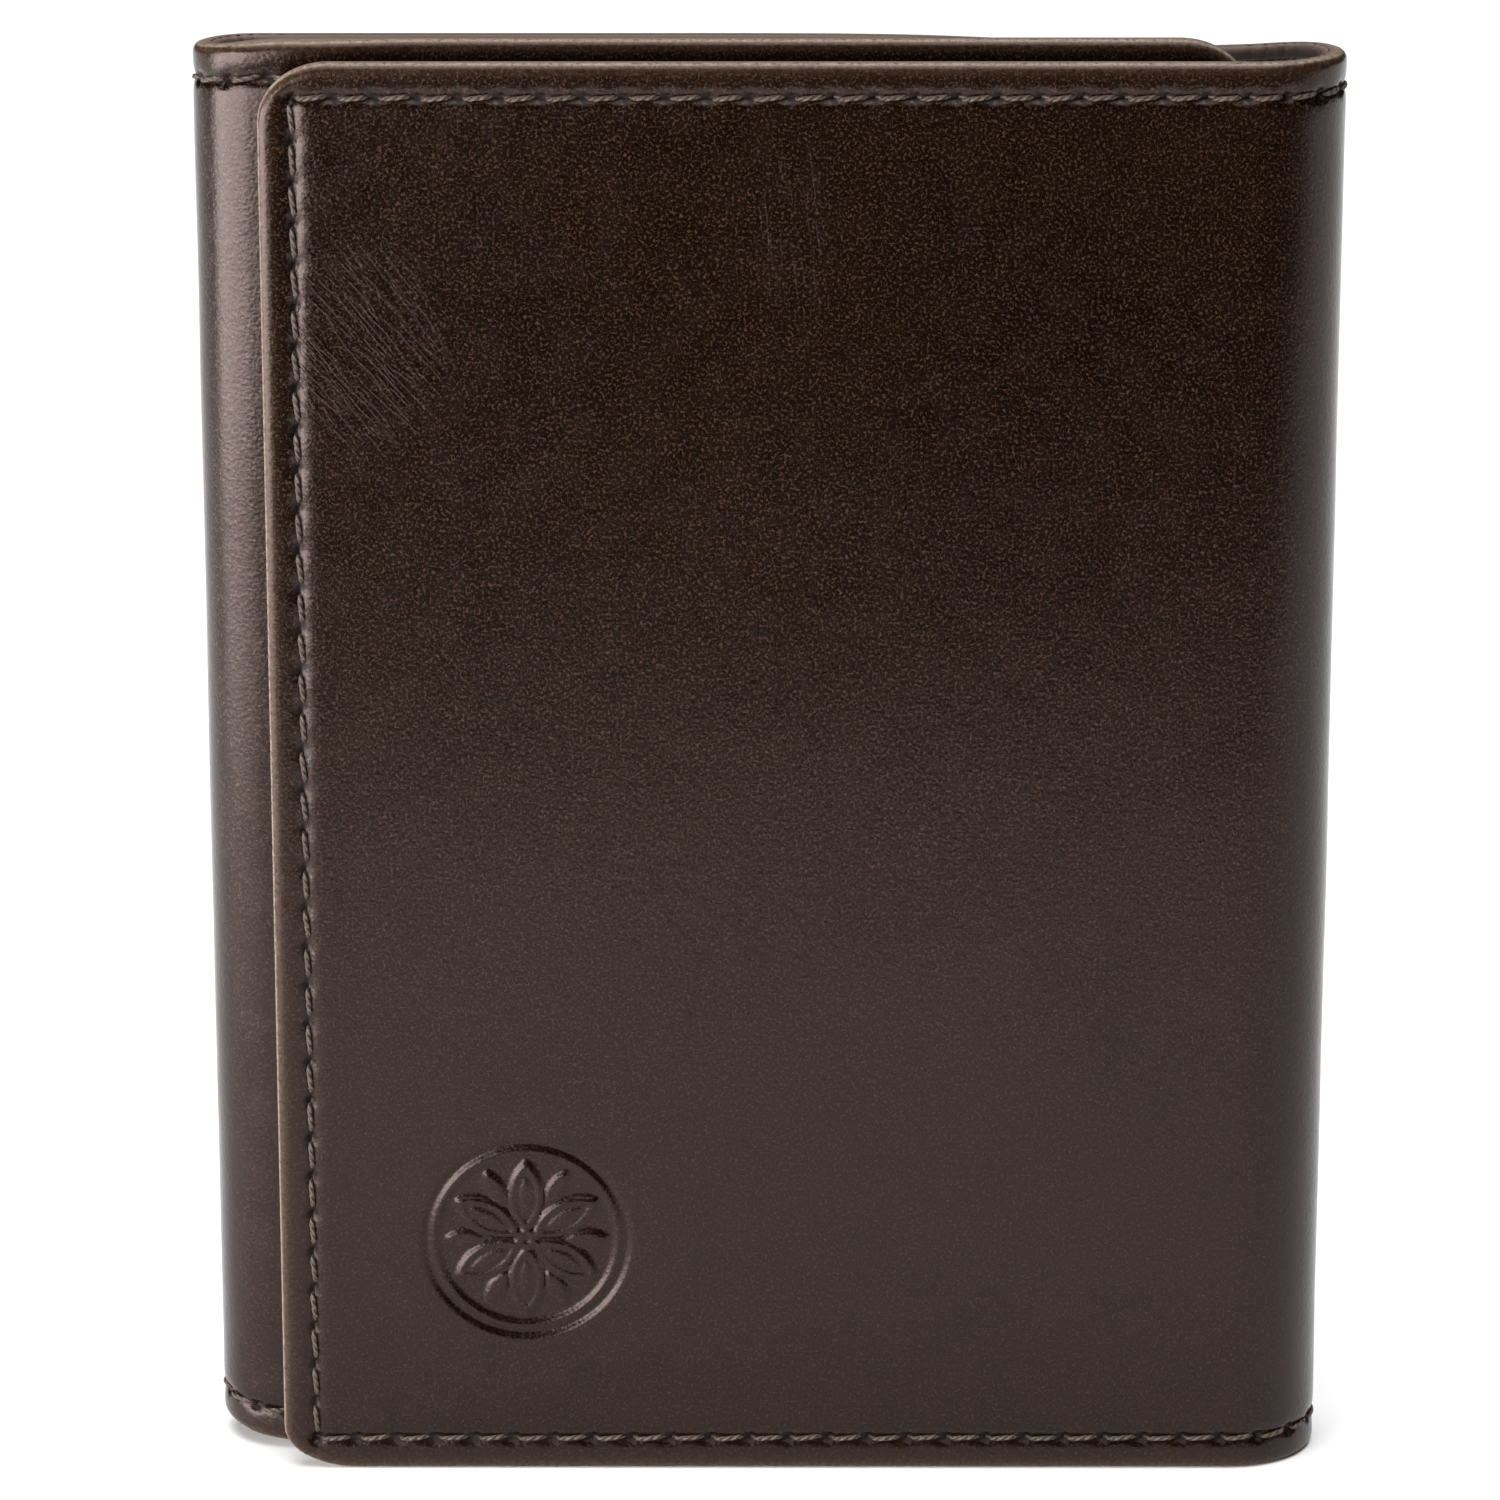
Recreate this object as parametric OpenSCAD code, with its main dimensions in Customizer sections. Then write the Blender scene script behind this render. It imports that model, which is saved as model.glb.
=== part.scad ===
// A trifold wallet, closed and standing on its bottom edge.
// The front flap folds over from the right, the inner flap folds under it from the left,
// and both hang on the back panel. +X is to the right, the front faces -Y, and +Z is up.
// The origin is under the middle of the closed wallet, on the surface it stands on.
// Each panel is a stack of layers, counted inwards from its own outer face:
// cover leather, stiffener board, turned hem, lining, bill space, divider and card slots.

/* [Panels] */
// Height of the back panel, which is also the height of both flaps before they are offset
panel_h = 105; // [96:0.5:120]
// Width of the back panel between its two folds
back_w = 70.5; // [66:0.5:90]
// How far the front flap's free edge stops short of the left fold
front_reveal = 0.8; // [0.4:0.1:6]
// How far the inner flap's free edge stops short of the right fold
inner_end_gap = 0.1; // [0.1:0.1:6]
// How much lower the front flap's top edge is than the back panel's
front_drop = 0.5; // [0:0.1:2]
// How far the inner flap sits above the surface that the wallet stands on
inner_lift = 0.4; // [0:0.1:2]
// Radius of the flaps' free corners
corner_r = 3; // [1:0.5:6]

/* [Layers] */
// Thickness of the outer leather
cover_t = 0.9; // [0.6:0.1:1.6]
// Thickness of the stiffener board inside each panel
board_t = 0.4; // [0.2:0.1:1]
// Thickness of the leather hem that is turned in round the edges
hem_t = 0.4; // [0.2:0.1:0.8]
// Width of the turned hem
hem_w = 8; // [5:0.5:12]
// Width of the leather that wraps round the board's edge
edge_w = 0.9; // [0.6:0.1:1.6]
// Thickness of the lining
lining_t = 0.2; // [0.1:0.1:0.5]
// Space for bills between the lining and the divider
bill_gap = 0.3; // [0.2:0.1:2]
// Thickness of the divider between the bill space and the cards
divider_t = 0.4; // [0.2:0.1:0.8]
// Thickness of each card slot's leather
slot_t = 0.4; // [0.3:0.1:0.8]
// Slack between one slot and the next when no card is in it
slot_gap = 0.1; // [0.1:0.1:1]
// Thickness of the clear film in the card window
film_t = 0.2; // [0.1:0.1:0.4]
// Thickness of the leather frame round the card window
frame_t = 0.5; // [0.3:0.1:1]

/* [Folds] */
// Gap between the front flap and the inner flap when closed
front_gap = 0.7; // [0.5:0.1:3]
// Gap between the inner flap and the back panel when closed
inner_gap = 0.6; // [0.4:0.1:3]
// Clearance on each side of a hinge line, so that the folds can turn
hinge_gap = 0.4; // [0.3:0.1:1]

/* [Inside] */
// How far the lining and the divider stay inside the cover's edges
layer_inset = 1; // [0.5:0.1:1.5]
// How far the divider's top edge is below the cover's, which opens the bill space
divider_drop = 4; // [2:0.5:10]
// How far the card slots stay inside the free edges and the bottom edge
slot_inset = 3.6; // [3.4:0.1:6]
// How far the card slots stay clear of a fold
fold_inset = 3; // [3:0.5:8]
// How far the highest slot mouth is below the divider's top edge
mouth_drop = 10; // [6:0.5:20]
// Step down from one slot mouth to the next
mouth_step = 6.5; // [4:0.5:10]
// Width of the leather border round the card window
window_border = 9; // [6:0.5:12]
// Radius of the card window's corners
window_r = 4; // [2:0.5:6]
// Width of the sewn rim of each slot
rim_w = 2; // [1.5:0.5:3]

/* [Seams] */
// Distance from an edge to the middle of its seam
seam_inset = 2.4; // [2:0.1:3]
// Width of the seam thread
thread_w = 0.5; // [0.3:0.1:0.8]
// Thickness of the seam thread, which lies flush in its groove
thread_t = 0.25; // [0.15:0.05:0.35]
// Clearance on each side of the thread in its groove
thread_gap = 0.1; // [0.05:0.05:0.2]
// Thickness of the thread where it lies on the inside leather
inside_thread_t = 0.15; // [0.1:0.05:0.2]

/* [Emblem] */
// Diameter of the pressed emblem on the front flap
emblem_d = 15.5; // [10:0.5:20]
// Distance from the front flap's free edge to the middle of the emblem
emblem_in = 18; // [14:0.5:30]
// Height of the middle of the emblem above the bottom edge
emblem_up = 18; // [14:0.5:40]
// Depth of the emblem's pressing
emblem_depth = 0.15; // [0.1:0.05:0.3]
// Distance from the emblem's outer edge to the inside of its raised ring
emblem_ring = 1.2; // [0.8:0.1:1.6]
// Width of the pressed line outside the ring, and of the ground round the rosette's tips
emblem_line = 0.4; // [0.2:0.1:0.6]
// Diameter of the hub in the middle of the rosette
emblem_hub_d = 1.6; // [1:0.1:3]

/* [Hidden] */
$fn = 96;
// how far a cut runs past the face that it cuts
past = 1;
// card slots on each flap
slot_count = 3;

// depths of the layers below a panel's outer face
board_v = cover_t;
hem_v = board_v + board_t;
lining_v = hem_v + hem_t;
bill_v = lining_v + lining_t;
divider_v = bill_v + bill_gap;
slots_v = divider_v + divider_t;
slot_pitch = slot_gap + slot_t;
film_v = slots_v + slot_pitch + slot_gap;
frame_v = film_v + film_t;

flap_t = slots_v + slot_count * slot_pitch;
back_t = frame_v + frame_t;

// the closed stack and its folds: an outer half round is as wide as what it folds over
depth = flap_t + front_gap + flap_t + inner_gap + back_t;
right_r = depth / 2;
left_r = (flap_t + inner_gap + back_t) / 2;
width = left_r + back_w + right_r;
left_x = left_r - width / 2;
right_x = left_x + back_w;
left_y = depth / 2 - left_r;
inner_face_y = depth / 2 - 2 * left_r;

// where each panel starts and ends, across and upwards
front_span = [left_x + front_reveal, right_x - hinge_gap];
front_rise = [0, panel_h - front_drop];
inner_span = [left_x + hinge_gap, right_x - inner_end_gap];
inner_rise = [inner_lift, panel_h + inner_lift];
back_span = [left_x + hinge_gap, right_x - hinge_gap];
back_rise = [0, panel_h];
right_fold_rise = [0, panel_h - front_drop];
left_fold_rise = [0, panel_h];

cover_colour = "#3a2e28";
inside_colour = "#33261f";
lining_colour = "#241b17";
thread_colour = "#6b5547";
board_colour = "#8d8175";
film_colour = [0.85, 0.88, 0.9, 0.35];

// ---- flat layers ----
// A panel is a span [x0, x1], a rise [z0, z1] and its free sides [left, right], which are
// true where the side is a free edge and false where it runs into a fold.

FRONT_FREE = [true, false];
INNER_FREE = [false, true];
BACK_FREE = [false, false];

// The same range with both ends moved in by a, where free, and by b where not
function inset_span(span, free, a, b) =
  [span[0] + (free[0] ? a : b), span[1] - (free[1] ? a : b)];

// What lies outside a quarter round of radius r in the corner at the origin
module corner_waste(r) {
  difference() {
    translate([-past, -past]) square(r + past);
    translate([r, r]) circle(r);
  }
}

// The outline of a layer, with radius r on the corners of its free sides
module outline(span, rise, free, r) {
  difference() {
    translate([span[0], rise[0]]) square([span[1] - span[0], rise[1] - rise[0]]);
    if (r > 0)
      for (side = [0, 1], end = [0, 1])
        if (free[side])
          translate([span[side], rise[end]])
            mirror([side, 0])
              mirror([0, end])
                corner_waste(r);
  }
}

// Stands a flat outline up as a layer t thick, v below its panel's outer face
module layer(v, t) {
  translate([0, v + t, 0])
    rotate([90, 0, 0])
      linear_extrude(t) children();
}

// The strip w wide along the top, the bottom and the free sides of an outline
module border(span, rise, free, r, w, top = true) {
  across = inset_span(span, free, w, -past);
  difference() {
    outline(span, rise, free, r);
    translate([across[0], rise[0] + w])
      square([across[1] - across[0], rise[1] - rise[0] - w - (top ? w : -past)]);
  }
}

// The seam's line, w wide, round the edges of a panel; it runs out past the folds by reach
module seam(span, rise, free, w, reach = 0) {
  outer = inset_span(span, free, seam_inset - w / 2, -reach);
  inner = inset_span(span, free, seam_inset + w / 2, -reach - past);
  difference() {
    translate([outer[0], rise[0] + seam_inset - w / 2])
      square([outer[1] - outer[0], rise[1] - rise[0] - 2 * seam_inset + w]);
    translate([inner[0], rise[0] + seam_inset + w / 2])
      square([inner[1] - inner[0], rise[1] - rise[0] - 2 * seam_inset - w]);
  }
}

// Everything below the height z
module below(z) {
  intersection() {
    children();
    translate([-width, -past]) square([2 * width, z + past]);
  }
}

// Everything above the height z
module above(z) {
  difference() {
    children();
    translate([-width, -past]) square([2 * width, z + past]);
  }
}

// The cover leather of a panel: its face, the leather round its edges and the turned hem
module cover(span, rise, free) {
  difference() {
    union() {
      layer(0, cover_t) outline(span, rise, free, corner_r);
      layer(board_v, board_t) border(span, rise, free, corner_r, edge_w);
      layer(hem_v, hem_t) border(span, rise, free, corner_r, hem_w);
    }
    layer(-past, past + thread_t)
      seam(span, rise, free, thread_w + 2 * thread_gap, past);
  }
}

// The board that the turned hem holds inside the cover
module board(span, rise, free) {
  inset = edge_w + hinge_gap;
  layer(board_v, board_t)
    outline(inset_span(span, free, inset, inset), [rise[0] + inset, rise[1] - inset], free,
            max(corner_r - inset, 0));
}

// The lining, which covers the hem's raw edge
module lining(span, rise, free) {
  layer(lining_v, lining_t)
    outline(inset_span(span, free, layer_inset, 0),
            [rise[0] + layer_inset, rise[1] - layer_inset], free,
            max(corner_r - layer_inset, 0));
}

function divider_top(rise) = rise[1] - divider_drop;

// The divider, with a turned rim that closes the bill space at the bottom and the free side
module divider(span, rise, free) {
  across = inset_span(span, free, layer_inset, 0);
  up = [rise[0] + layer_inset, divider_top(rise)];
  layer(divider_v, divider_t) square_corners(across, up);
  layer(bill_v, bill_gap) border(across, up, free, 0, rim_w, false);
}

module square_corners(span, rise) {
  outline(span, rise, BACK_FREE, 0);
}

// The room that the card slots have on a panel
function slot_span(span, free) = inset_span(span, free, slot_inset, fold_inset);

// The mouth of slot number i, counted from the divider outwards
function mouth(rise, i) = divider_top(rise) - mouth_drop - i * mouth_step;

// One card slot: a leaf of leather, with a rim that holds it off the layer behind it
module slot_leaf(span, rise, free, v, top, t) {
  across = slot_span(span, free);
  up = [rise[0] + slot_inset, top];
  layer(v + slot_gap, t) square_corners(across, up);
  layer(v, slot_gap) border(across, up, [true, true], 0, rim_w, false);
}

module card_slot(span, rise, free, i) {
  slot_leaf(span, rise, free, slots_v + i * slot_pitch, mouth(rise, i), slot_t);
}

// The main seam of a panel: flush in the cover, round the divider, and along the lining's top
module seam_thread(span, rise, free) {
  layer(0, thread_t) seam(span, rise, free, thread_w);
  layer(slots_v, inside_thread_t)
    below(divider_top(rise)) seam(span, rise, free, thread_w);
  layer(bill_v, inside_thread_t)
    above(divider_top(rise)) seam(span, rise, free, thread_w);
}

// One line of thread down each side of the slots; v is the face that it lies on
module side_threads(span, free, v, z0, z1) {
  across = slot_span(span, free);
  for (x = [across[0] + rim_w / 2, across[1] - rim_w / 2])
    layer(v, inside_thread_t)
      translate([x - thread_w / 2, z0]) square([thread_w, z1 - z0]);
}

// The thread across the bottom of the slots
module bottom_thread(span, rise, free, v) {
  across = slot_span(span, free);
  x0 = across[0] + rim_w / 2 - thread_w / 2;
  x1 = across[1] - rim_w / 2 + thread_w / 2;
  z = rise[0] + slot_inset + rim_w / 2;
  layer(v, inside_thread_t)
    translate([x0, z - thread_w / 2]) square([x1 - x0, thread_w]);
}

// The thread that sews a flap's slots down: it steps back at each slot's mouth
module pocket_thread(span, rise, free) {
  near = slot_count - 1;
  z0 = rise[0] + slot_inset + rim_w / 2;
  near_v = slots_v + slot_count * slot_pitch;
  bottom_thread(span, rise, free, near_v);
  side_threads(span, free, near_v, z0, mouth(rise, near) - thread_w);
  for (i = [0 : near - 1])
    side_threads(span, free, slots_v + (i + 1) * slot_pitch,
                 mouth(rise, i + 1) + thread_w, mouth(rise, i) - thread_w);
}

// ---- placing ----

module at_front() {
  translate([0, -depth / 2, 0]) children();
}

module at_inner() {
  translate([0, inner_face_y, 0]) children();
}

module at_back() {
  translate([0, depth / 2, 0]) mirror([0, 1, 0]) children();
}

// ---- folds ----

// A half round strip, r outside and t thick, that leaves a hinge gap at both ends.
// It faces right.
module half_round(r, t, z0, z1, fold_r) {
  trim = asin(hinge_gap / fold_r);
  translate([0, 0, z0])
    rotate([0, 0, trim - 90])
      rotate_extrude(angle = 180 - 2 * trim)
        translate([r - t, 0]) square([t, z1 - z0]);
}

// The cover leather round a fold, with its hems turned in at the top and the bottom
module fold_cover(r, rise) {
  difference() {
    union() {
      half_round(r, cover_t, rise[0], rise[1], r);
      half_round(r - cover_t, hem_t, rise[0], rise[0] + hem_w, r);
      half_round(r - cover_t, hem_t, rise[1] - hem_w, rise[1], r);
    }
    groove_w = thread_w + 2 * thread_gap;
    for (z = fold_seams(rise))
      translate([0, 0, z - groove_w / 2]) difference() {
        cylinder(h = groove_w, r = r + past);
        translate([0, 0, -past]) cylinder(h = groove_w + 2 * past, r = r - thread_t);
      }
  }
}

function fold_seams(rise) = [rise[0] + seam_inset, rise[1] - seam_inset];

module fold_lining(r, rise) {
  half_round(r - lining_v, lining_t, rise[0] + layer_inset, rise[1] - layer_inset, r);
}

module fold_divider(r, rise) {
  half_round(r - divider_v, divider_t, rise[0] + layer_inset, divider_top(rise), r);
}

module fold_thread(r, rise) {
  for (z = fold_seams(rise))
    half_round(r, thread_t, z - thread_w / 2, z + thread_w / 2, r);
}

module at_right_fold() {
  translate([right_x, 0, 0]) children();
}

module at_left_fold() {
  translate([left_x, left_y, 0]) mirror([1, 0, 0]) children();
}

// ---- front flap ----

// A rosette of six petals round a hub, drawn with one radius as with a pair of compasses
module rosette(r, hub_d) {
  circle(d = hub_d);
  for (turn = [0 : 60 : 300])
    rotate(turn)
      intersection() {
        rotate(60) translate([r, 0]) circle(r);
        rotate(-60) translate([r, 0]) circle(r);
      }
}

// What the emblem's stamp presses in: its ground, inside a raised ring and round the rosette
module emblem_pressing() {
  ground_r = emblem_d / 2 - emblem_ring;
  translate([front_span[0] + emblem_in, 0, emblem_up])
    layer(-past, past + emblem_depth) {
      difference() {
        circle(d = emblem_d);
        circle(d = emblem_d - 2 * emblem_line);
      }
      difference() {
        circle(ground_r);
        rosette(ground_r - emblem_line, emblem_hub_d);
      }
    }
}

module front_cover() {
  color(cover_colour) at_front() difference() {
    cover(front_span, front_rise, FRONT_FREE);
    emblem_pressing();
  }
}

module front_board() {
  color(board_colour) at_front() board(front_span, front_rise, FRONT_FREE);
}

module front_lining() {
  color(lining_colour) at_front() lining(front_span, front_rise, FRONT_FREE);
}

module front_divider() {
  color(inside_colour) at_front() divider(front_span, front_rise, FRONT_FREE);
}

module front_slot(i) {
  color(inside_colour) at_front() card_slot(front_span, front_rise, FRONT_FREE, i);
}

module front_seam_thread() {
  color(thread_colour) at_front() seam_thread(front_span, front_rise, FRONT_FREE);
}

module front_pocket_thread() {
  color(thread_colour) at_front() pocket_thread(front_span, front_rise, FRONT_FREE);
}

// ---- inner flap ----

module inner_cover() {
  color(cover_colour) at_inner() cover(inner_span, inner_rise, INNER_FREE);
}

module inner_board() {
  color(board_colour) at_inner() board(inner_span, inner_rise, INNER_FREE);
}

module inner_lining() {
  color(lining_colour) at_inner() lining(inner_span, inner_rise, INNER_FREE);
}

module inner_divider() {
  color(inside_colour) at_inner() divider(inner_span, inner_rise, INNER_FREE);
}

module inner_slot(i) {
  color(inside_colour) at_inner() card_slot(inner_span, inner_rise, INNER_FREE, i);
}

module inner_seam_thread() {
  color(thread_colour) at_inner() seam_thread(inner_span, inner_rise, INNER_FREE);
}

module inner_pocket_thread() {
  color(thread_colour) at_inner() pocket_thread(inner_span, inner_rise, INNER_FREE);
}

// ---- back panel ----

module back_cover() {
  color(cover_colour) at_back() cover(back_span, back_rise, BACK_FREE);
}

module back_board() {
  color(board_colour) at_back() board(back_span, back_rise, BACK_FREE);
}

module back_lining() {
  color(lining_colour) at_back() lining(back_span, back_rise, BACK_FREE);
}

module back_divider() {
  color(inside_colour) at_back() divider(back_span, back_rise, BACK_FREE);
}

module back_card_slot() {
  color(inside_colour) at_back() card_slot(back_span, back_rise, BACK_FREE, 0);
}

// The clear film and its frame end at the mouth of a second slot, and share its outline
window_span = slot_span(back_span, BACK_FREE);
window_rise = [back_rise[0] + slot_inset, mouth(back_rise, 1)];

module window_film() {
  color(film_colour) at_back() {
    layer(film_v, film_t) square_corners(window_span, window_rise);
    layer(film_v - slot_gap, slot_gap)
      border(window_span, window_rise, [true, true], 0, rim_w, false);
  }
}

module window_frame() {
  across = inset_span(window_span, [true, true], window_border, 0);
  up = [window_rise[0] + window_border, window_rise[1] - window_border];
  color(inside_colour) at_back() layer(frame_v, frame_t) difference() {
    square_corners(window_span, window_rise);
    outline(across, up, [true, true], window_r);
  }
}

module back_seam_thread() {
  color(thread_colour) at_back() seam_thread(back_span, back_rise, BACK_FREE);
}

module back_pocket_thread() {
  z0 = window_rise[0] + rim_w / 2;
  color(thread_colour) at_back() {
    bottom_thread(back_span, back_rise, BACK_FREE, back_t);
    side_threads(back_span, BACK_FREE, back_t, z0, window_rise[1] - thread_w);
    side_threads(back_span, BACK_FREE, slots_v + slot_pitch,
                 window_rise[1] + thread_w, mouth(back_rise, 0) - thread_w);
  }
}

// ---- right fold ----

module right_fold_cover() {
  color(cover_colour) at_right_fold() fold_cover(right_r, right_fold_rise);
}

module right_fold_lining() {
  color(lining_colour) at_right_fold() fold_lining(right_r, right_fold_rise);
}

module right_fold_divider() {
  color(inside_colour) at_right_fold() fold_divider(right_r, right_fold_rise);
}

module right_fold_thread() {
  color(thread_colour) at_right_fold() fold_thread(right_r, right_fold_rise);
}

// ---- left fold ----

module left_fold_cover() {
  color(cover_colour) at_left_fold() fold_cover(left_r, left_fold_rise);
}

module left_fold_lining() {
  color(lining_colour) at_left_fold() fold_lining(left_r, left_fold_rise);
}

module left_fold_divider() {
  color(inside_colour) at_left_fold() fold_divider(left_r, left_fold_rise);
}

module left_fold_thread() {
  color(thread_colour) at_left_fold() fold_thread(left_r, left_fold_rise);
}

front_cover();
front_board();
front_lining();
front_divider();
front_slot(0);  // front_slot_rear
front_slot(1);  // front_slot_middle
front_slot(2);  // front_slot_near
front_seam_thread();
front_pocket_thread();
inner_cover();
inner_board();
inner_lining();
inner_divider();
inner_slot(0);  // inner_slot_rear
inner_slot(1);  // inner_slot_middle
inner_slot(2);  // inner_slot_near
inner_seam_thread();
inner_pocket_thread();
back_cover();
back_board();
back_lining();
back_divider();
back_card_slot();
window_film();
window_frame();
back_seam_thread();
back_pocket_thread();
right_fold_cover();
right_fold_lining();
right_fold_divider();
right_fold_thread();
left_fold_cover();
left_fold_lining();
left_fold_divider();
left_fold_thread();
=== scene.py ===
import math

import bmesh
import bpy
import numpy as np
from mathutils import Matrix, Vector


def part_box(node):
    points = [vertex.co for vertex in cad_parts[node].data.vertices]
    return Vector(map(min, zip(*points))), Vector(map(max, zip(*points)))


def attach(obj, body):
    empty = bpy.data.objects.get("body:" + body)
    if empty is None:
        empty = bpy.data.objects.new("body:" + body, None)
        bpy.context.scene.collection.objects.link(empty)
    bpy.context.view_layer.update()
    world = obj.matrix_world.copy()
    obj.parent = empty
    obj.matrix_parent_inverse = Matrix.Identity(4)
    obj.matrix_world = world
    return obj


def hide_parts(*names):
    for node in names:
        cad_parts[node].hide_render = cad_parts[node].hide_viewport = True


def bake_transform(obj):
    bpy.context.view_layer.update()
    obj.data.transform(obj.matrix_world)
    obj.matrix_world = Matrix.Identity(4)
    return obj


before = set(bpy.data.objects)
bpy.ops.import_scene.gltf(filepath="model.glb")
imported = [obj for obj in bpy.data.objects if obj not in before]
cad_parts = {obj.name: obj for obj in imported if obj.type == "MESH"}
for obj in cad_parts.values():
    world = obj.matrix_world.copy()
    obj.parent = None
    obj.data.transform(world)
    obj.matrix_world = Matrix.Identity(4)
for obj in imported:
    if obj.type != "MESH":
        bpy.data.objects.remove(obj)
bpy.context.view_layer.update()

MM = 0.001

# ---- sizes, all in millimetres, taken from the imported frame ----


def box_mm(node):
    """Lowest and highest corner of a CAD node, in millimetres."""
    lo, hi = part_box(node)
    return [c / MM for c in lo], [c / MM for c in hi]


front_lo, front_hi = box_mm("front_cover")
inner_lo, inner_hi = box_mm("inner_cover")
back_lo, back_hi = box_mm("back_cover")
_, right_hi = box_mm("right_fold_cover")
left_lo, left_hi = box_mm("left_fold_cover")

RIGHT_R = (back_hi[1] - front_lo[1]) / 2
LEFT_R = (back_hi[1] - inner_lo[1]) / 2
RIGHT_X = right_hi[0] - RIGHT_R
LEFT_X = left_lo[0] + LEFT_R
RIGHT_Y = back_hi[1] - RIGHT_R
LEFT_Y = back_hi[1] - LEFT_R
BACK_MIDDLE = (LEFT_X + RIGHT_X) / 2

COVER_T = 0.9
HEM_V = box_mm("front_board")[1][1] - front_lo[1]
LINING_V = box_mm("front_lining")[0][1] - front_lo[1]
LINING_T = box_mm("front_lining")[1][1] - box_mm("front_lining")[0][1]
DIVIDER_T = 0.4
DIVIDER_V = box_mm("front_divider")[1][1] - front_lo[1] - DIVIDER_T
DIVIDER_TOP = box_mm("front_divider")[1][2] - front_hi[2]
HEM_W = 8.0
EDGE_W = 0.9
LAYER_INSET = 1.0
SEAM_IN = 2.4
STITCH = 2.9
SLOT_T = 0.4
SLOT_GAP = 0.1
EMBLEM_D = 15.5
EMBLEM_AT = (18.0, 18.0)

# ---- tools of the bench ----


def smooth(lo, hi, x):
    """0 before lo, 1 after hi, and a smooth rise between."""
    t = np.clip((np.asarray(x, float) - lo) / (hi - lo), 0, 1)
    return t * t * (3 - 2 * t)


def only(obj):
    """Selects obj and nothing else."""
    if bpy.context.object and bpy.context.object.mode == "EDIT":
        bpy.ops.object.mode_set(mode="OBJECT")
    bpy.ops.object.select_all(action="DESELECT")
    obj.select_set(True)
    bpy.context.view_layer.objects.active = obj


def edit(obj, kind="FACE"):
    """Opens the mesh for editing with nothing selected."""
    only(obj)
    bpy.ops.object.mode_set(mode="EDIT")
    bpy.ops.mesh.select_mode(type=kind)
    bpy.ops.mesh.select_all(action="DESELECT")


def done():
    bpy.ops.object.mode_set(mode="OBJECT")


def pick(obj, parts, test):
    """Selects the faces, edges or verts of the mesh being edited that pass the test."""
    mesh = bmesh.from_edit_mesh(obj.data)
    for part in getattr(mesh, parts):
        if test(part):
            part.select_set(True)
    mesh.select_flush_mode()
    bmesh.update_edit_mesh(obj.data)


def points(obj):
    co = np.zeros(len(obj.data.vertices) * 3)
    obj.data.vertices.foreach_get("co", co)
    return co.reshape(-1, 3)


def put_points(obj, co):
    obj.data.vertices.foreach_set("co", np.ascontiguousarray(co, np.float32).ravel())
    obj.data.update()


def mark(obj, name, values):
    """Stores one number or one vector per vertex for the materials."""
    values = np.asarray(values, np.float32)
    kind, key = ("FLOAT", "value") if values.ndim == 1 else ("FLOAT_VECTOR", "vector")
    layer = obj.data.attributes.new(name, kind, "POINT")
    layer.data.foreach_set(key, np.ascontiguousarray(values).ravel())


def thicken(obj, thickness):
    only(obj)
    wall = obj.modifiers.new("wall", "SOLIDIFY")
    wall.thickness = thickness * MM
    wall.offset = -1
    bpy.ops.object.modifier_apply(modifier=wall.name)


def finish_faces(obj, angle):
    only(obj)
    bpy.ops.object.shade_smooth_by_angle(angle=math.radians(angle))


def waves(seed, a, b, longest, shortest, count=14):
    """An even, seeded roll of the surface: a sum of plane waves over the flat leather."""
    draw = np.random.default_rng(seed)
    total = np.zeros(np.broadcast(a, b).shape)
    for _ in range(count):
        length = math.exp(draw.uniform(math.log(shortest), math.log(longest)))
        turn, shift = draw.uniform(0, 2 * math.pi, 2)
        along = np.asarray(a) * math.cos(turn) + np.asarray(b) * math.sin(turn)
        total = total + np.sin(2 * math.pi * along / length + shift) * length / longest
    return total / math.sqrt(count)


# ---- the runs: the long sheet, from a start line to the middle of a fold ----


class Run:
    """A stretch of the wallet: a flat panel, or half of one, and a quarter of a fold.

    s is the distance along it from its start, z the height and v the depth below the
    outer face, all in millimetres. way is +1 if it runs to the right, and face is -1 if
    it faces the front.
    """

    def __init__(self, name, start, fold, radius, way, face, rise, free, bodies):
        self.name, self.start, self.fold = name, start, fold
        self.radius, self.way, self.face = radius, way, face
        self.rise, self.free, self.bodies = rise, free, bodies
        self.flat = way * (fold[0] - start)
        self.end = self.flat + radius * math.pi / 2
        self.height = rise[1] - rise[0]
        self.from_s, self.sense = 0.0, 1
        self.shift = lambda s, z: 0 * s

    def place(self, s, z, v):
        """Millimetres along the leather to metres in the frame."""
        turn = np.clip((s - self.flat) / self.radius, 0, None)
        r = self.radius - v
        along = np.minimum(s - self.flat, 0) + r * np.sin(turn)
        x = self.fold[0] + self.way * along
        y = self.fold[1] + self.face * r * np.cos(turn)
        return np.stack([x, y, z + self.shift(s, z)], -1) * MM

    def read(self, co):
        """The s, z and v of points that are still on the plain shape."""
        x, y, z = co.T / MM
        along = self.way * (x - self.fold[0])
        out = self.face * (y - self.fold[1])
        turn = np.arctan2(np.clip(along, 0, None), out)
        r = np.where(along > 0, np.hypot(along, out), out)
        s = self.flat + np.where(along > 0, turn * self.radius, along)
        return s, z, self.radius - r

    def long(self, s):
        """Distance along the whole sheet, from the front flap's free edge."""
        return self.from_s + self.sense * s


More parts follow.
